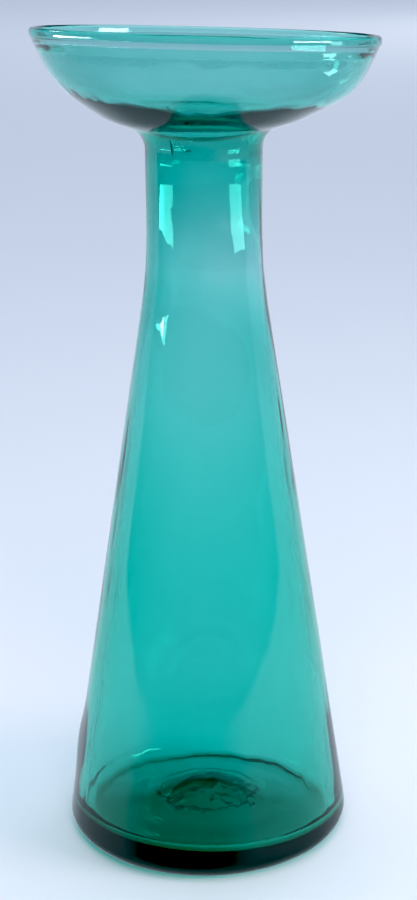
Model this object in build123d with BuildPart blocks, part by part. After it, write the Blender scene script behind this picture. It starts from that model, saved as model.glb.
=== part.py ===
from build123d import *
import math
import os

# Hyacinth forcing vase in blown teal glass. Sizes are in millimetres.
# The foot stands on Z = 0 and the glass turns about +Z.

# Driving dimensions: outside of the glass
total_height = 220.0
rim_radius = 44.6
bead_diameter = 2.0
bead_root_round = 0.4
cup_depth = 25.2
cup_flare = 5.8
cup_corner_rise = 11.0
cup_corner_round = 19.8
seat_radius = 24.8
seat_rise = 3.0
seat_round = 24.0
neck_radius = 15.3
neck_length = 35.4
throat_round = 6.0
shoulder_round = 116.0
foot_radius = 40.1
heel_round = 4.8

# Driving dimensions: thickness of the glass
cup_wall_thickness = 1.5
seat_thickness = 2.0
neck_thickness = 2.8
throat_edge_round = 3.2
neck_bore_length = 23.0
neck_bore_round = 60.0
thin_wall_thickness = 1.8
thin_wall_drop = 40.0
heavy_wall_thickness = 3.3
heavy_wall_height = 55.0
foot_wall_thickness = 4.0
wall_round = 800.0
floor_edge_height = 3.9
floor_centre_height = 9.3
floor_round = 4.0

# Driving dimensions: underside of the foot
kick_radius = 15.0
kick_depth = 4.2
kick_edge_round = 3.0
scar_radius = 11.5
scar_thickness = 2.5
scar_slope = 3.0
scar_roughness = 0.07
scar_points = 13

# Heights that follow from the driving dimensions
throat_height = total_height - cup_depth
shoulder_height = throat_height - neck_length
bead_radius = bead_diameter / 2
bead_centre = (rim_radius - bead_radius, total_height - bead_radius)

# Heights where one zone of the wall ends and the next begins
foot_top = floor_centre_height + 1.7
shoulder_bottom = shoulder_height - 10.0
cup_corner_bottom = throat_height + 0.72 * cup_corner_rise
bead_bottom = total_height - bead_diameter - 0.5


def inner_corner(before, corner, after, wall_before, wall_after):
    """Point where the inner faces of two straight stretches of wall meet."""
    into = (Vector(*corner) - Vector(*before)).normalized()
    out = (Vector(*after) - Vector(*corner)).normalized()
    turn = into.X * out.Y - into.Y * out.X
    along_into = (wall_after - wall_before * into.dot(out)) / turn
    inward = Vector(-into.Y, into.X)
    point = Vector(*corner) + inward * wall_before - into * along_into
    return (point.X, point.Y)


def inside_reservoir(height, thickness):
    """Point on the inner face of the cone at a height, where the wall has a given thickness."""
    outer_radius = foot_radius - (foot_radius - neck_radius) * height / shoulder_height
    return (outer_radius - thickness, height)


# Corners of the outside, from the foot up, before they are rounded
foot_corner = (foot_radius, 0.0)
shoulder_corner = (neck_radius, shoulder_height)
throat_corner = (neck_radius, throat_height)
seat_corner = (seat_radius, throat_height + seat_rise)
cup_corner = (rim_radius - cup_flare, throat_height + cup_corner_rise)

# The flared wall ends in the middle of the bead, with the bead's centre midway through its thickness
flare = Vector(*bead_centre) - Vector(*cup_corner)
lean = math.asin(cup_wall_thickness / 2 / flare.length)
flare_direction = flare.rotate(Axis.Z, -math.degrees(lean)).normalized()
flare_length = math.sqrt(flare.length**2 - (cup_wall_thickness / 2) ** 2)
rim_outside = Vector(*cup_corner) + flare_direction * flare_length
rim_inside = rim_outside + flare_direction.rotate(Axis.Z, 90) * cup_wall_thickness
rim_outside = (rim_outside.X, rim_outside.Y)
rim_inside = (rim_inside.X, rim_inside.Y)

# Corners of the inside: the wall is heavy at the foot, thinnest under the shoulder and thick at the throat
bore_bottom = (neck_radius - neck_thickness, throat_height - neck_bore_length)
floor_corner = inside_reservoir(floor_edge_height, foot_wall_thickness)
heavy_wall = inside_reservoir(heavy_wall_height, heavy_wall_thickness)
thin_wall = inside_reservoir(bore_bottom[1] - thin_wall_drop, thin_wall_thickness)
inner_throat = inner_corner(shoulder_corner, throat_corner, seat_corner, neck_thickness, seat_thickness)
inner_seat = inner_corner(throat_corner, seat_corner, cup_corner, seat_thickness, seat_thickness)
inner_cup = inner_corner(seat_corner, cup_corner, rim_outside, seat_thickness, cup_wall_thickness)

# The whole blown wall, turned about the axis
with BuildPart() as blown_wall:
    with BuildSketch(Plane.XZ) as half_section:
        with BuildLine():
            FilletPolyline(
                (kick_radius, 0.0),
                foot_corner,
                shoulder_corner,
                throat_corner,
                seat_corner,
                cup_corner,
                rim_outside,
                radius=[heel_round, shoulder_round, throat_round, seat_round, cup_corner_round],
            )
            Line(rim_outside, rim_inside)
            FilletPolyline(
                rim_inside,
                inner_cup,
                inner_seat,
                inner_throat,
                bore_bottom,
                thin_wall,
                heavy_wall,
                floor_corner,
                radius=[
                    cup_corner_round - seat_thickness,
                    seat_round - seat_thickness,
                    throat_edge_round,
                    neck_bore_round,
                    wall_round,
                    wall_round,
                ],
            )
            TangentArc((0.0, floor_centre_height), floor_corner, tangent=(1, 0))
            Line((0.0, floor_centre_height), (0.0, kick_depth))
            TangentArc((0.0, kick_depth), (kick_radius, 0.0), tangent=(1, 0))
        make_face()
        fillet(half_section.vertices().sort_by_distance(floor_corner)[0], radius=floor_round)
        fillet(half_section.vertices().sort_by_distance((kick_radius, 0.0))[0], radius=kick_edge_round)
        with Locations(bead_centre):
            Circle(bead_radius)
        bead_roots = half_section.vertices().sort_by(Axis.Y)[-2:]
        fillet(bead_roots, radius=bead_root_round)
    revolve(axis=Axis.Z)

# Fire-polished bead at the rim
with BuildPart() as rim_bead:
    add(blown_wall.part)
    split(bisect_by=Plane.XY.offset(bead_bottom), keep=Keep.TOP)
rim_bead.part.label = "rim_bead"

# Flared side of the cup that the bulb stands in
with BuildPart() as cup_wall:
    add(blown_wall.part)
    split(bisect_by=Plane.XY.offset(bead_bottom), keep=Keep.BOTTOM)
    split(bisect_by=Plane.XY.offset(cup_corner_bottom), keep=Keep.TOP)
cup_wall.part.label = "cup_wall"

# Dished seat under the bulb, with the rounded edge of the throat
with BuildPart() as cup_seat:
    add(blown_wall.part)
    split(bisect_by=Plane.XY.offset(cup_corner_bottom), keep=Keep.BOTTOM)
    split(bisect_by=Plane.XY.offset(throat_height), keep=Keep.TOP)
cup_seat.part.label = "cup_seat"

# Neck that the roots grow down through, with the shoulder below it
with BuildPart() as neck:
    add(blown_wall.part)
    split(bisect_by=Plane.XY.offset(throat_height), keep=Keep.BOTTOM)
    split(bisect_by=Plane.XY.offset(shoulder_bottom), keep=Keep.TOP)
neck.part.label = "neck"

# Conical wall of the water reservoir
with BuildPart() as reservoir_wall:
    add(blown_wall.part)
    split(bisect_by=Plane.XY.offset(shoulder_bottom), keep=Keep.BOTTOM)
    split(bisect_by=Plane.XY.offset(foot_top), keep=Keep.TOP)
reservoir_wall.part.label = "reservoir_wall"

# Heavy foot with the rounded heel, the floor and the kick under it
with BuildPart() as foot:
    add(blown_wall.part)
    split(bisect_by=Plane.XY.offset(foot_top), keep=Keep.BOTTOM)
foot.part.label = "foot"

# Broken pontil wad, fused to the top of the kick and snapped off at a slope
with BuildPart() as pontil_scar:
    with BuildSketch(Plane.XY):
        with BuildLine():
            Spline(
                [
                    Vector(scar_radius * (1 + scar_roughness * math.sin(5.0 * k)), 0).rotate(
                        Axis.Z, 360 * k / scar_points
                    )
                    for k in range(scar_points)
                ],
                periodic=True,
            )
        make_face()
    extrude(amount=kick_depth)
    add(foot.part, mode=Mode.SUBTRACT)
    break_plane = Plane((0, 0, kick_depth - scar_thickness)).rotated((scar_slope, 0, 0))
    split(bisect_by=break_plane, keep=Keep.TOP)
pontil_scar.part.label = "pontil_scar"

os.makedirs("parts", exist_ok=True)
export_step(rim_bead.part, "parts/rim_bead.step")
export_step(cup_wall.part, "parts/cup_wall.step")
export_step(cup_seat.part, "parts/cup_seat.step")
export_step(neck.part, "parts/neck.step")
export_step(reservoir_wall.part, "parts/reservoir_wall.step")
export_step(foot.part, "parts/foot.step")
export_step(pontil_scar.part, "parts/pontil_scar.step")
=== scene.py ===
import math

import bpy
from mathutils import Matrix, Vector


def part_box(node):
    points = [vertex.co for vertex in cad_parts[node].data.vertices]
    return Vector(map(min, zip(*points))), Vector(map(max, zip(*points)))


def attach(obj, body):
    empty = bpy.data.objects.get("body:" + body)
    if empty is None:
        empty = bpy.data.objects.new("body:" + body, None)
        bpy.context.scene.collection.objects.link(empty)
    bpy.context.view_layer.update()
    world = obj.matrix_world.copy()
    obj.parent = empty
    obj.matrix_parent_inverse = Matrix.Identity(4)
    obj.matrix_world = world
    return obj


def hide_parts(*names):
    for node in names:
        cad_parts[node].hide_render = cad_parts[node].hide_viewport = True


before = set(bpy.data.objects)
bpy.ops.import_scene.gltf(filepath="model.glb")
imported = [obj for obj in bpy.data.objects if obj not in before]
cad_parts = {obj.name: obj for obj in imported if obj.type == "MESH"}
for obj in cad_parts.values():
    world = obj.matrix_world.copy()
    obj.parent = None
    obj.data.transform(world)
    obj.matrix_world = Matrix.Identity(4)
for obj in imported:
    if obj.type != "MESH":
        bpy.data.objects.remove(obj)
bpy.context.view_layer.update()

MM = 0.001


def hex_colour(code):
    """sRGB hex to the linear colour that shaders take."""
    levels = [int(code[i : i + 2], 16) / 255 for i in (0, 2, 4)]
    return (*[v / 12.92 if v <= 0.04045 else ((v + 0.055) / 1.055) ** 2.4 for v in levels], 1.0)


def add(tree, kind, inputs=None, **settings):
    """Adds one node: settings are its properties, inputs its sockets, each a value or a socket to link."""
    node = tree.nodes.new(kind)
    for name, value in settings.items():
        setattr(node, name, value)
    for name, value in (inputs or {}).items():
        if isinstance(value, bpy.types.NodeSocket):
            tree.links.new(value, node.inputs[name])
        else:
            node.inputs[name].default_value = value
    return node


def add_object(name, data):
    """Puts a mesh, a lamp or a camera into the scene."""
    item = bpy.data.objects.new(name, data)
    bpy.context.scene.collection.objects.link(item)
    return item


# Sizes of the outside in millimetres, as in the solids
RIM_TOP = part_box("rim_bead")[1][2] / MM
RIM_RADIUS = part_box("rim_bead")[1][0] / MM
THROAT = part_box("cup_seat")[0][2] / MM
BEAD = 2.0
NECK_RADIUS = 15.3
NECK_LENGTH = 35.4
SHOULDER = THROAT - NECK_LENGTH
FOOT_RADIUS = 40.1

# Sizes of the floor and the kick in millimetres, fitted to what shows through the glass
KICK_RADIUS = 19.0
KICK_DEPTH = 5.5
FLOOR_RADIUS = 18.0
FLOOR_CENTRE = 10.6
FLOOR_EDGE = 5.8

# Height, thickness of the glass and rounding down the inner face of the reservoir, in millimetres
RESERVOIR_WALL = (
    (150.0, 1.95, 100.0),
    (123.0, 2.05, 300.0),
    (95.0, 2.75, 300.0),
    (65.0, 3.1, 300.0),
    (35.0, 2.75, 300.0),
    (3.2, 3.3, 4.8),
)

# Spacing of the section's points: degrees on an arc, millimetres on a straight, and counts on the domes
ARC_STEP = 8.0
STRAIGHT_STEP = 4.0
KICK_STEPS = 54
FLOOR_STEPS = 15


def cone_radius(height):
    """Outer radius of the reservoir at a height, before the heel and the shoulder are rounded."""
    return FOOT_RADIUS - (FOOT_RADIUS - NECK_RADIUS) * height / SHOULDER


def rounded_run(corners):
    """Points along a run of corners (radius, height, rounding), with arcs at the rounded ones."""
    run = [Vector(corners[0][:2])]
    for before, corner, after in zip(corners, corners[1:], corners[2:]):
        here, rounding = Vector(corner[:2]), corner[2]
        back = (Vector(before[:2]) - here).normalized()
        ahead = (Vector(after[:2]) - here).normalized()
        half = back.angle(ahead) / 2
        reach = rounding / math.tan(half)
        start, end = here + back * reach, here + ahead * reach
        centre = here + (back + ahead).normalized() * rounding / math.sin(half)
        turn = math.pi - 2 * half
        count = max(2, math.ceil(math.degrees(turn) / ARC_STEP))
        for i in range(count + 1):
            run.append(centre + (start - centre).slerp(end - centre, i / count) * rounding)
    run.append(Vector(corners[-1][:2]))
    filled = [run[0]]
    for a, b in zip(run, run[1:]):
        steps = max(1, math.ceil((b - a).length / STRAIGHT_STEP))
        filled += [a.lerp(b, i / steps) for i in range(1, steps + 1)]
    return filled


def floor_dome():
    """Points of the shallow floor from the axis out to its edge."""
    rise = FLOOR_CENTRE - FLOOR_EDGE
    ball = (FLOOR_RADIUS**2 + rise**2) / (2 * rise)
    radii = [FLOOR_RADIUS * i / FLOOR_STEPS for i in range(FLOOR_STEPS + 1)]
    return [Vector((r, FLOOR_CENTRE - ball + math.sqrt(ball**2 - r**2))) for r in radii]


# The half section: floor, inner face up to the bead, outer face down to the foot, and kick
outside = rounded_run(
    [
        (KICK_RADIUS, 0.0),
        (FOOT_RADIUS, 0.0, 4.8),
        (NECK_RADIUS, SHOULDER, 116.0),
        (NECK_RADIUS, THROAT, 6.0),
        (24.8, THROAT + 3.0, 24.0),
        (RIM_RADIUS - 5.8, THROAT + 11.0, 19.8),
        (RIM_RADIUS - 0.55, RIM_TOP - 3.0, 1.5),
        (RIM_RADIUS, RIM_TOP - 2.0, 0.8),
        (RIM_RADIUS, RIM_TOP, 0.98),
        (RIM_RADIUS - BEAD / 2, RIM_TOP),
    ]
)
inside = rounded_run(
    [
        (RIM_RADIUS - BEAD / 2, RIM_TOP),
        (RIM_RADIUS - BEAD, RIM_TOP, 0.95),
        (RIM_RADIUS - BEAD, RIM_TOP - BEAD, 0.6),
        (RIM_RADIUS - 2.2, RIM_TOP - BEAD - 1.2, 1.6),
        (RIM_RADIUS - 3.4, RIM_TOP - 5.0, 4.0),
        (RIM_RADIUS - 6.8, THROAT + 11.5, 18.0),
        (23.6, THROAT + 4.85, 18.5),
        (10.8, THROAT + 3.6, 8.0),
        (12.35, 188.0, 20.0),
        (12.40, 183.0, 30.0),
        (12.78, 177.0, 60.0),
        (13.30, 170.0, 80.0),
        (14.02, 161.0, 80.0),
        *[(cone_radius(height) - wall, height, rounding) for height, wall, rounding in RESERVOIR_WALL],
        (27.0, 4.2, 20.0),
        (FLOOR_RADIUS, FLOOR_EDGE),
    ]
)
kick = [
    Vector((KICK_RADIUS * i / KICK_STEPS, KICK_DEPTH * (1 + math.cos(math.pi * i / KICK_STEPS)) / 2))
    for i in range(KICK_STEPS + 1)
]
floor = floor_dome()
section = floor + inside[-2::-1] + outside[-2::-1] + kick[-2::-1]
first_outside = len(floor) + len(inside) - 1

section_mesh = bpy.data.meshes.new("blown_section")
section_mesh.from_pydata(
    [(p.x * MM, -p.y * MM, 0.0) for p in section],
    [(i, i + 1) for i in range(len(section) - 1)],
    [],
)
is_inside = section_mesh.attributes.new("inside", "FLOAT", "POINT")
for i, value in enumerate(is_inside.data):
    value.value = 1.0 if i < first_outside else 0.0
vase = add_object("blown_glass_vase", section_mesh)

# Teal soda glass, blown and fire-polished: clear, with a hard gloss, and deepest in colour where thickest
teal_glass = bpy.data.materials.new("teal_soda_glass")
teal_glass.use_nodes = True
glass = teal_glass.node_tree
glass.nodes.clear()
surface = add(
    glass,
    "ShaderNodeBsdfPrincipled",
    {"Base Color": hex_colour("ffffff"), "Roughness": 0.0, "IOR": 1.5, "Transmission Weight": 1.0},
)
tint = add(glass, "ShaderNodeVolumeAbsorption", {"Color": hex_colour("88f0e9"), "Density": 594.0})

# Light on its way to the sheet goes straight through the glass and takes on a faint teal cast
rays = add(glass, "ShaderNodeLightPath")
lets_through = add(
    glass,
    "ShaderNodeMath",
    {0: rays.outputs["Is Shadow Ray"], 1: rays.outputs["Is Diffuse Ray"]},
    operation="MAXIMUM",
)
clear = add(glass, "ShaderNodeBsdfTransparent", {"Color": hex_colour("f0f6fb")})
shown = add(
    glass,
    "ShaderNodeMixShader",
    {"Fac": lets_through.outputs["Value"], 1: surface.outputs["BSDF"], 2: clear.outputs["BSDF"]},
)
add(
    glass,
    "ShaderNodeOutputMaterial",
    {"Surface": shown.outputs["Shader"], "Volume": tint.outputs["Volume"]},
)

# The section turned about the axis, then pushed a little out of true as hot glass is
RING_RADIUS = 0.001 * MM
SEAM_WIDTH = 0.01 * MM
CUP_LEAN = (-math.tan(math.radians(1.8)), -math.tan(math.radians(0.85)), 0.0)
blow = bpy.data.node_groups.new("blown_wall", "GeometryNodeTree")
for name, kind, value in (
    ("Section", "NodeSocketGeometry", None),
    ("Sides", "NodeSocketInt", 256),
    ("Ripple Depth", "NodeSocketFloat", 0.20 * MM),
    ("Ripple Width", "NodeSocketFloat", 14.0 * MM),
    ("Ripple Length", "NodeSocketFloat", 70.0 * MM),
    ("Streak Depth", "NodeSocketFloat", 0.085 * MM),
    ("Streak Width", "NodeSocketFloat", 4.0 * MM),
    ("Streak Length", "NodeSocketFloat", 160.0 * MM),
    ("Throat Height", "NodeSocketFloat", THROAT * MM),
    ("Cup Lean", "NodeSocketVector", CUP_LEAN),
    ("Cup Shift", "NodeSocketFloat", 0.64 * MM),
    ("Cup Blend", "NodeSocketFloat", 12.0 * MM),
    ("Bore Slant", "NodeSocketFloat", math.tan(math.radians(0.9))),
    ("Bore Top", "NodeSocketFloat", 195.0 * MM),
    ("Bore Full Top", "NodeSocketFloat", 188.0 * MM),
    ("Bore Full Bottom", "NodeSocketFloat", 160.0 * MM),
    ("Bore Bottom", "NodeSocketFloat", 140.0 * MM),
    ("Foot Out Of Round", "NodeSocketFloat", 0.01),
    ("Foot Reach", "NodeSocketFloat", 60.0 * MM),
    ("Floor Slope", "NodeSocketVector", (-0.03, -0.065, 0.0)),
    ("Floor Reach", "NodeSocketFloat", 40.0 * MM),
    ("Floor Full Height", "NodeSocketFloat", 12.0 * MM),
    ("Scar Place", "NodeSocketVector", (-0.5 * MM, 4.0 * MM, 0.0)),
    ("Scar Radius", "NodeSocketFloat", 8.0 * MM),
    ("Scar Depth", "NodeSocketFloat", 2.1 * MM),
    ("Scar Swell", "NodeSocketFloat", 1.3),
    ("Scar Inner Edge", "NodeSocketFloat", -0.45 * MM),
    ("Scar Outer Edge", "NodeSocketFloat", 0.45 * MM),
    ("Scar Clearance", "NodeSocketFloat", 0.2 * MM),
    ("Rag Reach", "NodeSocketFloat", 8.0 * MM),
    ("Rags Per Metre", "NodeSocketFloat", 1 / (6 * MM)),
    ("Chips Per Metre", "NodeSocketFloat", 1 / (4 * MM)),
    ("Chips Start", "NodeSocketFloat", -2.0 * MM),
    ("Chips Full", "NodeSocketFloat", 3.0 * MM),
    ("Least Chip", "NodeSocketFloat", 0.2),
    ("Most Chip", "NodeSocketFloat", 1.3),
    ("Bump Place", "NodeSocketVector", (-36.5 * MM, 4.0 * MM, 24.0 * MM)),
    ("Bump Height", "NodeSocketFloat", 0.9 * MM),
    ("Bump Reach", "NodeSocketFloat", 14.0 * MM),
    ("Seed", "NodeSocketFloat", 4.0),
    ("Inside Seed Step", "NodeSocketFloat", 5.0),
    ("Glass", "NodeSocketMaterial", teal_glass),
):
    socket = blow.interface.new_socket(name, in_out="INPUT", socket_type=kind)
    if value is not None:
        socket.default_value = value
blow.interface.new_socket("Vase", in_out="OUTPUT", socket_type="NodeSocketGeometry")
given = add(blow, "NodeGroupInput").outputs

# The half section swept round a ring too small to see, with its seam and poles closed
half_section = add(blow, "GeometryNodeMeshToCurve", {"Mesh": given["Section"]})
ring = add(blow, "GeometryNodeCurvePrimitiveCircle", {"Resolution": given["Sides"], "Radius": RING_RADIUS})
turned = add(
    blow,
    "GeometryNodeCurveToMesh",
    {"Curve": ring.outputs["Curve"], "Profile Curve": half_section.outputs["Curve"]},
)
closed = add(
    blow, "GeometryNodeMergeByDistance", {"Geometry": turned.outputs["Mesh"], "Distance": SEAM_WIDTH}
)
place = add(blow, "GeometryNodeInputPosition").outputs["Position"]
split = add(blow, "ShaderNodeSeparateXYZ", {"Vector": place})
level = add(blow, "ShaderNodeVectorMath", {0: place, 1: (1, 1, 0)}, operation="MULTIPLY")
outward = add(blow, "ShaderNodeVectorMath", {0: level.outputs["Vector"]}, operation="NORMALIZE")
on_inside = add(blow, "GeometryNodeInputNamedAttribute", {"Name": "inside"}, data_type="FLOAT")
on_outside = add(blow, "ShaderNodeMath", {0: 1.0, 1: on_inside.outputs["Attribute"]}, operation="SUBTRACT")

# Ripples that run down the wall, others on the inside than on the outside, and finer streaks on the inside
side_seed = add(
    blow,
    "ShaderNodeMath",
    {0: on_inside.outputs["Attribute"], 1: given["Inside Seed Step"], 2: given["Seed"]},
    operation="MULTIPLY_ADD",
)
waves = {}
for name, seed, detail in (("Ripple", side_seed.outputs["Value"], 2.0), ("Streak", given["Seed"], 1.0)):
    wave_size = add(
        blow,
        "ShaderNodeCombineXYZ",
        {"X": given[f"{name} Width"], "Y": given[f"{name} Width"], "Z": given[f"{name} Length"]},
    )
    wave_place = add(
        blow, "ShaderNodeVectorMath", {0: place, 1: wave_size.outputs["Vector"]}, operation="DIVIDE"
    )
    wave = add(
        blow,
        "ShaderNodeTexNoise",
        {"Vector": wave_place.outputs["Vector"], "W": seed, "Scale": 1.0, "Detail": detail},
        noise_dimensions="4D",
    )
    wave_depth = add(
        blow,
        "ShaderNodeMapRange",
        {"Value": wave.outputs["Fac"], "From Min": 0.5, "From Max": 1.0, "To Max": given[f"{name} Depth"]},
        clamp=False,
    )
    waves[name] = wave_depth.outputs["Result"]
wall_depth = add(
    blow,
    "ShaderNodeMath",
    {0: waves["Streak"], 1: on_inside.outputs["Attribute"], 2: waves["Ripple"]},
    operation="MULTIPLY_ADD",
)
ripple_push = add(
    blow,
    "ShaderNodeVectorMath",
    {0: outward.outputs["Vector"], "Scale": wall_depth.outputs["Value"]},
    operation="SCALE",
)

# The cup leans to one side and sits a little off the axis
cup_full = add(blow, "ShaderNodeMath", {0: given["Throat Height"], 1: given["Cup Blend"]}, operation="ADD")
in_cup = add(
    blow,
    "ShaderNodeMapRange",
    {"Value": split.outputs["Z"], "From Min": given["Throat Height"], "From Max": cup_full.outputs["Value"]},
    interpolation_type="SMOOTHSTEP",
)
cup_rise = add(blow, "ShaderNodeVectorMath", {0: place, 1: given["Cup Lean"]}, operation="DOT_PRODUCT")
cup_move = add(blow, "ShaderNodeCombineXYZ", {"X": given["Cup Shift"], "Z": cup_rise.outputs["Value"]})
cup_push = add(
    blow,
    "ShaderNodeVectorMath",
    {0: cup_move.outputs["Vector"], "Scale": in_cup.outputs["Result"]},
    operation="SCALE",
)

# The jacks left the bore of the neck on a slant to the wall
bore_top = add(
    blow,
    "ShaderNodeMapRange",
    {"Value": split.outputs["Z"], "From Min": given["Bore Top"], "From Max": given["Bore Full Top"]},
    interpolation_type="SMOOTHSTEP",
)
bore_bottom = add(
    blow,
    "ShaderNodeMapRange",
    {"Value": split.outputs["Z"], "From Min": given["Bore Bottom"], "From Max": given["Bore Full Bottom"]},
    interpolation_type="SMOOTHSTEP",
)
in_bore = add(
    blow,
    "ShaderNodeMath",
    {0: bore_top.outputs["Result"], 1: bore_bottom.outputs["Result"]},
    operation="MULTIPLY",
)
bore_side = add(
    blow,
    "ShaderNodeMath",
    {0: in_bore.outputs["Value"], 1: on_inside.outputs["Attribute"]},
    operation="MULTIPLY",
)
below_throat = add(
    blow, "ShaderNodeMath", {0: given["Throat Height"], 1: split.outputs["Z"]}, operation="SUBTRACT"
)
bore_shift = add(
    blow, "ShaderNodeMath", {0: below_throat.outputs["Value"], 1: given["Bore Slant"]}, operation="MULTIPLY"
)
bore_aside = add(
    blow,
    "ShaderNodeMath",
    {0: bore_shift.outputs["Value"], 1: bore_side.outputs["Value"]},
    operation="MULTIPLY",
)

# The floor inside is thicker at the front and on the left
near_floor = add(
    blow,
    "ShaderNodeMapRange",
    {"Value": split.outputs["Z"], "From Min": given["Floor Reach"], "From Max": given["Floor Full Height"]},
    interpolation_type="SMOOTHSTEP",
)
floor_side = add(
    blow,
    "ShaderNodeMath",
    {0: near_floor.outputs["Result"], 1: on_inside.outputs["Attribute"]},
    operation="MULTIPLY",
)
floor_lift = add(
    blow, "ShaderNodeVectorMath", {0: place, 1: given["Floor Slope"]}, operation="DOT_PRODUCT"
)
floor_rise = add(
    blow,
    "ShaderNodeMath",
    {0: floor_lift.outputs["Value"], 1: floor_side.outputs["Value"]},
    operation="MULTIPLY",
)

# The snapped pontil wad under the kick: a ragged edge, smooth on the left and broken up on the right
from_scar = add(
    blow, "ShaderNodeVectorMath", {0: level.outputs["Vector"], 1: given["Scar Place"]}, operation="DISTANCE"
)
rag = add(
    blow,
    "ShaderNodeTexNoise",
    {"Vector": place, "W": given["Seed"], "Scale": given["Rags Per Metre"], "Detail": 2.0},
    noise_dimensions="4D",
)
scar_reach = add(
    blow,
    "ShaderNodeMath",
    {0: rag.outputs["Fac"], 1: given["Rag Reach"], 2: given["Scar Radius"]},
    operation="MULTIPLY_ADD",
)
past_edge = add(
    blow,
    "ShaderNodeMath",
    {0: from_scar.outputs["Value"], 1: scar_reach.outputs["Value"]},
    operation="SUBTRACT",
)
in_scar = add(
    blow,
    "ShaderNodeMapRange",
    {
        "Value": past_edge.outputs["Value"],
        "From Min": given["Scar Outer Edge"],
        "From Max": given["Scar Inner Edge"],
    },
    interpolation_type="SMOOTHSTEP",
)
chips = add(
    blow,
    "ShaderNodeTexNoise",
    {"Vector": place, "W": given["Seed"], "Scale": given["Chips Per Metre"], "Detail": 2.0},
    noise_dimensions="4D",
)
chipped = add(
    blow,
    "ShaderNodeMapRange",
    {
        "Value": split.outputs["X"],
        "From Min": given["Chips Start"],
        "From Max": given["Chips Full"],
        "To Min": given["Least Chip"],
        "To Max": given["Most Chip"],
    },
)
chip_depth = add(
    blow, "ShaderNodeMath", {0: chips.outputs["Fac"], 1: chipped.outputs["Result"]}, operation="MULTIPLY"
)
broken = add(
    blow, "ShaderNodeMath", {0: given["Scar Swell"], 1: chip_depth.outputs["Value"]}, operation="SUBTRACT"
)
scar_wish = add(
    blow, "ShaderNodeMath", {0: broken.outputs["Value"], 1: given["Scar Depth"]}, operation="MULTIPLY"
)
scar_room = add(
    blow, "ShaderNodeMath", {0: split.outputs["Z"], 1: given["Scar Clearance"]}, operation="SUBTRACT"
)
scar_drop = add(
    blow,
    "ShaderNodeMath",
    {0: scar_wish.outputs["Value"], 1: scar_room.outputs["Value"]},
    operation="MINIMUM",
)
scar_mask = add(
    blow,
    "ShaderNodeMath",
    {0: in_scar.outputs["Result"], 1: on_outside.outputs["Value"]},
    operation="MULTIPLY",
)
scar_fall = add(
    blow,
    "ShaderNodeMath",
    {0: scar_drop.outputs["Value"], 1: scar_mask.outputs["Value"]},
    operation="MULTIPLY",
)

# A lump in the wall low on the left
from_bump = add(blow, "ShaderNodeVectorMath", {0: place, 1: given["Bump Place"]}, operation="DISTANCE")
bump = add(
    blow,
    "ShaderNodeMapRange",
    {
        "Value": from_bump.outputs["Value"],
        "From Min": given["Bump Reach"],
        "From Max": 0.0,
        "To Max": given["Bump Height"],
    },
    interpolation_type="SMOOTHSTEP",
)
bump_side = add(
    blow, "ShaderNodeMath", {0: bump.outputs["Result"], 1: on_outside.outputs["Value"]}, operation="MULTIPLY"
)
bump_push = add(
    blow,
    "ShaderNodeVectorMath",
    {0: outward.outputs["Vector"], "Scale": bump_side.outputs["Value"]},
    operation="SCALE",
)

# The foot is longer from front left to back right than across
near_foot = add(
    blow,
    "ShaderNodeMapRange",
    {
        "Value": split.outputs["Z"],
        "From Min": given["Foot Reach"],
        "From Max": 0.0,
        "To Max": given["Foot Out Of Round"],
    },
    interpolation_type="SMOOTHSTEP",
)
swapped = add(blow, "ShaderNodeCombineXYZ", {"X": split.outputs["Y"], "Y": split.outputs["X"]})
foot_push = add(
    blow,
    "ShaderNodeVectorMath",
    {0: swapped.outputs["Vector"], "Scale": near_foot.outputs["Result"]},
    operation="SCALE",
)

# All the pushes together
rise = add(
    blow,
    "ShaderNodeMath",
    {0: floor_rise.outputs["Value"], 1: scar_fall.outputs["Value"]},
    operation="SUBTRACT",
)
rise_push = add(blow, "ShaderNodeCombineXYZ", {"X": bore_aside.outputs["Value"], "Z": rise.outputs["Value"]})
low_pushes = rise_push
for push in (bump_push, foot_push):
    low_pushes = add(
        blow,
        "ShaderNodeVectorMath",
        {0: low_pushes.outputs["Vector"], 1: push.outputs["Vector"]},
        operation="ADD",
    )
high_pushes = add(
    blow,
    "ShaderNodeVectorMath",
    {0: ripple_push.outputs["Vector"], 1: cup_push.outputs["Vector"]},
    operation="ADD",
)
all_pushes = add(
    blow,
    "ShaderNodeVectorMath",
    {0: high_pushes.outputs["Vector"], 1: low_pushes.outputs["Vector"]},
    operation="ADD",
)
shaped = add(
    blow,
    "GeometryNodeSetPosition",
    {"Geometry": closed.outputs["Geometry"], "Offset": all_pushes.outputs["Vector"]},
)
smooth = add(blow, "GeometryNodeSetShadeSmooth", {"Geometry": shaped.outputs["Geometry"]})
real = add(blow, "GeometryNodeRealizeInstances", {"Geometry": smooth.outputs["Geometry"]})
dressed = add(
    blow, "GeometryNodeSetMaterial", {"Geometry": real.outputs["Geometry"], "Material": given["Glass"]}
)
add(blow, "NodeGroupOutput", {"Vase": dressed.outputs["Geometry"]})

turning = vase.modifiers.new("blown_wall", "NODES")
turning.node_group = blow
evaluated = vase.evaluated_get(bpy.context.evaluated_depsgraph_get())
vase_mesh = bpy.data.meshes.new_from_object(evaluated)
vase_mesh.name = "blown_glass_vase"
vase.modifiers.remove(turning)
vase.data = vase_mesh
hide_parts("rim_bead", "cup_wall", "cup_seat", "neck", "reservoir_wall", "foot", "pontil_scar")
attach(vase, "root")

# Pale matt paper with a cool tone
paper = bpy.data.materials.new("pale_matt_paper")
paper.use_nodes = True
sheet = paper.node_tree
sheet.nodes.clear()
matt = add(
    sheet,
    "ShaderNodeBsdfPrincipled",
    {"Base Color": hex_colour("d8dee9"), "Roughness": 0.9, "Specular IOR Level": 0.0},
)
add(sheet, "ShaderNodeOutputMaterial", {"Surface": matt.outputs["BSDF"]})

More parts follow.
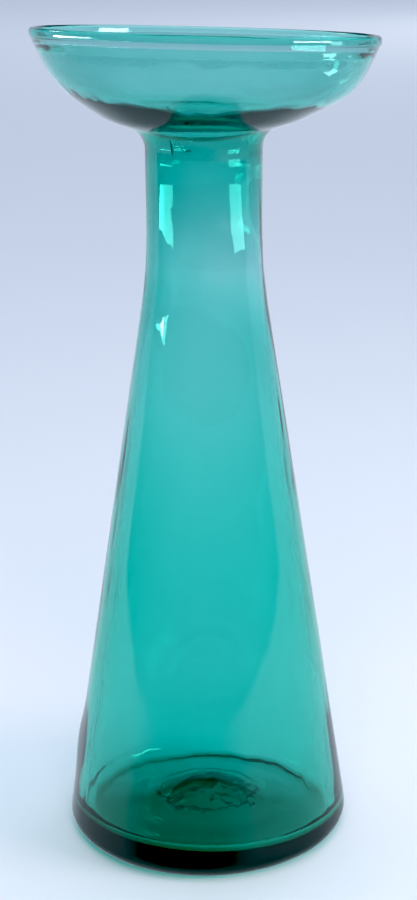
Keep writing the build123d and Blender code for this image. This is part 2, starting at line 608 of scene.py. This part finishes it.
# The sheet that the vase stands on, in metres, just clear of the foot
SHEET_REACH = 14.0
SHEET_HEIGHT = -0.03 * MM
table_mesh = bpy.data.meshes.new("paper_sheet")
table_mesh.from_pydata(
    [(x * SHEET_REACH, y * SHEET_REACH, SHEET_HEIGHT) for x, y in ((-1, -1), (1, -1), (1, 1), (-1, 1))],
    [],
    [(0, 1, 2, 3)],
)
table = add_object("paper_sheet", table_mesh)
table.data.materials.append(paper)
table.visible_glossy = False

# Room light: a soft sky overhead, a pale room behind and the pale sheet below, dark on the camera's side
SKY = Vector((0.0, 0.26, 0.966))
DAYLIGHT_COLOUR = "e6eefc"
world = bpy.data.worlds.new("studio")
bpy.context.scene.world = world
world.use_nodes = True
room = world.node_tree
room.nodes.clear()
towards = add(room, "ShaderNodeTexCoord").outputs["Generated"]
lit = {}
for name, direction, start, full, strength in (
    ("sky", SKY.normalized(), 0.75, 0.90, 0.4),
    ("back", (0.1, 1.0, 0.0), 0.08, 0.10, 1.0),
    ("below", (0.014, 0.0, -1.0), 0.148, 0.160, 1.0),
    ("past_front", Vector((-0.3, -1.0, 0.0)).normalized(), 0.95, 0.50, 1.0),
    ("low", (0.0, 0.0, -1.0), -0.36, -0.20, 1.0),
):
    facing = add(room, "ShaderNodeVectorMath", {0: towards, 1: direction}, operation="DOT_PRODUCT")
    tone = add(
        room,
        "ShaderNodeMapRange",
        {"Value": facing.outputs["Value"], "From Min": start, "From Max": full, "To Max": strength},
        interpolation_type="SMOOTHSTEP",
    )
    lit[name] = tone.outputs["Result"]
sheet_seen = add(room, "ShaderNodeMath", {0: lit["below"], 1: lit["past_front"]}, operation="MULTIPLY")
low_back = add(room, "ShaderNodeMath", {0: lit["back"], 1: lit["low"]}, operation="MULTIPLY")
pale = add(
    room,
    "ShaderNodeMath",
    {0: low_back.outputs["Value"], 1: sheet_seen.outputs["Value"]},
    operation="MAXIMUM",
)

# Past the edge of the sheet the room is pale on every side
rays_seen = add(room, "ShaderNodeLightPath")
pale_seen = add(
    room,
    "ShaderNodeMath",
    {0: pale.outputs["Value"], 1: rays_seen.outputs["Is Camera Ray"]},
    operation="MAXIMUM",
)
facing_down = add(room, "ShaderNodeVectorMath", {0: towards, 1: (0.0, 0.0, -1.0)}, operation="DOT_PRODUCT")
# Reflections see this tone in place of the hidden sheet. It grows darker for steeper directions down, which
# is painted shade of the sheet round the foot.
pale_tone_with_painted_shade = add(room, "ShaderNodeValToRGB", {"Fac": facing_down.outputs["Value"]})
pale_tone_with_painted_shade.color_ramp.elements[0].color = hex_colour("b9c4da")
pale_tone_with_painted_shade.color_ramp.elements[1].color = hex_colour("c4d2de")
for position, colour in ((0.15, "dfecfd"), (0.30, "dfecfd"), (0.66, "b4c5d2")):
    pale_tone_with_painted_shade.color_ramp.elements.new(position).color = hex_colour(colour)
pale_light = add(
    room,
    "ShaderNodeBackground",
    {"Color": pale_tone_with_painted_shade.outputs["Color"], "Strength": pale_seen.outputs["Value"]},
)
sky_light = add(room, "ShaderNodeBackground", {"Color": hex_colour(DAYLIGHT_COLOUR), "Strength": lit["sky"]})
glow = add(
    room,
    "ShaderNodeAddShader",
    {0: pale_light.outputs["Background"], 1: sky_light.outputs["Background"]},
)
add(room, "ShaderNodeOutputWorld", {"Surface": glow.outputs["Shader"]})


def add_lamp(name, kind, facing, power, colour, hidden_from):
    """A lamp that faces a direction, hidden from some kinds of ray."""
    lamp = bpy.data.lights.new(name, kind)
    lamp.energy = power
    lamp.color = hex_colour(colour)[:3]
    stand = add_object(name, lamp)
    stand.rotation_mode = "QUATERNION"
    stand.rotation_quaternion = Vector(facing).to_track_quat("-Z", "Y")
    for ray in hidden_from:
        setattr(stand, f"visible_{ray}", False)
    return stand


# Overhead daylight lights the sheet and stays out of the glass
IN_GLASS = ("glossy", "transmission")
daylight = add_lamp("overhead_daylight", "SUN", -SKY, 2.40, DAYLIGHT_COLOUR, IN_GLASS)
daylight.data.angle = math.radians(68.0)

# Softboxes light the sheet, and windows show as reflections in the neck and the cup
SOFTBOX_COLOUR = "fffaf2"
WINDOW_COLOUR = "ffffff"
for name, spot, aim, width, height, power, colour, hidden_from in (
    ("key_softbox", (0.80, -0.22, 0.68), (0, 0, 0), 0.50, 0.50, 1.8, SOFTBOX_COLOUR, IN_GLASS),
    ("front_softbox", (0.0, -0.90, 0.90), (0, 0, 0), 0.80, 0.80, 7.5, SOFTBOX_COLOUR, IN_GLASS),
    ("back_softbox", (3.0, 5.0, 1.8), (1.0, 5.0, 0), 1.5, 1.5, 45.0, SOFTBOX_COLOUR, IN_GLASS),
    ("high_window", (-0.93, 0.755, 0.90), (0, 0, 0.2), 0.25, 0.20, 1.2, WINDOW_COLOUR, ("diffuse",)),
    ("left_window", (-0.798, 0.05, 0.180), (0, 0, 0.17), 0.52, 0.034, 0.78, WINDOW_COLOUR, ("diffuse",)),
    ("right_window", (0.754, -0.267, 0.290), (0, 0, 0.17), 0.42, 0.188, 3.4, WINDOW_COLOUR, ()),
):
    box = add_lamp(name, "AREA", Vector(aim) - Vector(spot), power, colour, ("camera", *hidden_from))
    box.location = spot
    box.data.shape = "RECTANGLE"
    box.data.size, box.data.size_y = width, height

# Camera on the photo's line of sight: 67 mm lens, 16 degrees down, rolled slightly
CAMERA_PLACE = (0.0, -0.43735, 0.23756)
PITCH, YAW, ROLL = math.radians(16.35), math.radians(-0.10), math.radians(-0.38)
camera_data = bpy.data.cameras.new("photo_camera")
camera_data.sensor_width = 36.0
camera_data.lens = 67.04
camera = add_object("photo_camera", camera_data)
camera.matrix_world = (
    Matrix.Translation(CAMERA_PLACE)
    @ Matrix.Rotation(YAW, 4, "Z")
    @ Matrix.Rotation(math.pi / 2 - PITCH, 4, "X")
    @ Matrix.Rotation(ROLL, 4, "Z")
)
bpy.context.scene.camera = camera

# Plain view, with the deepest shadows taken down to black
BLACK_POINT = (0.028, 0.016, 0.020)
view = bpy.context.scene.view_settings
view.view_transform = "Standard"
view.use_curve_mapping = True
view.curve_mapping.black_level = BLACK_POINT
view.curve_mapping.update()
